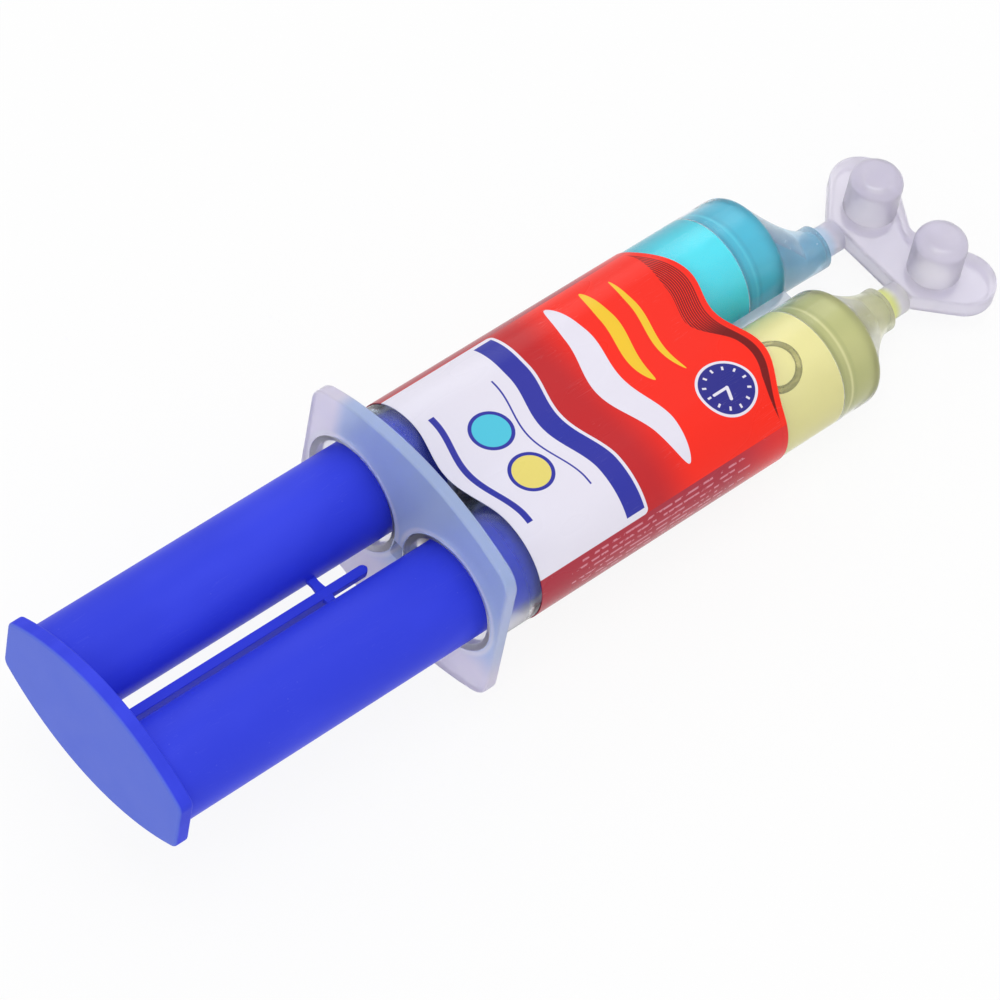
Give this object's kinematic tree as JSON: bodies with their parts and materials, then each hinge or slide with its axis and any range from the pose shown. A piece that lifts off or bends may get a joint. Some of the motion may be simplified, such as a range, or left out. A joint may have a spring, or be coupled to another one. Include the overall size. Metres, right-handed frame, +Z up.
{
  "type": "twin-barrel adhesive syringe",
  "caption": "Twin-barrel adhesive syringe with a finger flange, a joined two-rod plunger, a stirrer stick between the rods, twin nozzles and a snap-off closure with reseal caps.",
  "frame": {"origin": "centre of the thumb plate's rear face, with the plunger fully drawn", "axes": "+X from the thumb plate towards the nozzles, +Y towards the resin barrel, +Z up out of the label's face"},
  "size_m": [0.156, 0.041, 0.036],
  "materials": {
    "barrel_plastic": "translucent moulded polypropylene",
    "plunger_plastic": "glossy blue moulded plastic",
    "piston_plastic": "white moulded plastic",
    "resin_paste": "clear blue-green paste",
    "hardener_paste": "clear pale yellow paste",
    "label_film": "printed film",
    "closure_plastic": "translucent moulded polypropylene"
  },
  "bodies": {
    "barrel": {"finger_flange": "barrel_plastic", "resin_barrel": "barrel_plastic", "hardener_barrel": "barrel_plastic", "barrel_web": "barrel_plastic", "resin_nozzle": "barrel_plastic", "hardener_nozzle": "barrel_plastic", "label": "label_film", "resin": "resin_paste", "hardener": "hardener_paste", "resin_in_nozzle": "resin_paste", "hardener_in_nozzle": "hardener_paste"},
    "plunger": {"thumb_plate": "plunger_plastic", "resin_rod": "plunger_plastic", "hardener_rod": "plunger_plastic", "resin_piston": "piston_plastic", "hardener_piston": "piston_plastic", "stirrer": "plunger_plastic", "stirrer_tabs": "plunger_plastic"},
    "closure": {"closure_plate": "closure_plastic", "resin_cap": "closure_plastic", "hardener_cap": "closure_plastic", "resin_neck": "closure_plastic", "hardener_neck": "closure_plastic"}
  },
  "joints": [
    {"name": "plunger_slide", "type": "slide", "parent": "barrel", "child": "plunger", "axis": [1, 0, 0], "range_m": [0, 0.0506], "deforming": ["resin", "hardener", "stirrer_tabs"]},
    {"name": "closure_snap", "type": "slide", "parent": "barrel", "child": "closure", "axis": [1, 0, 0], "range_m": [0, 0.03]}
  ]
}
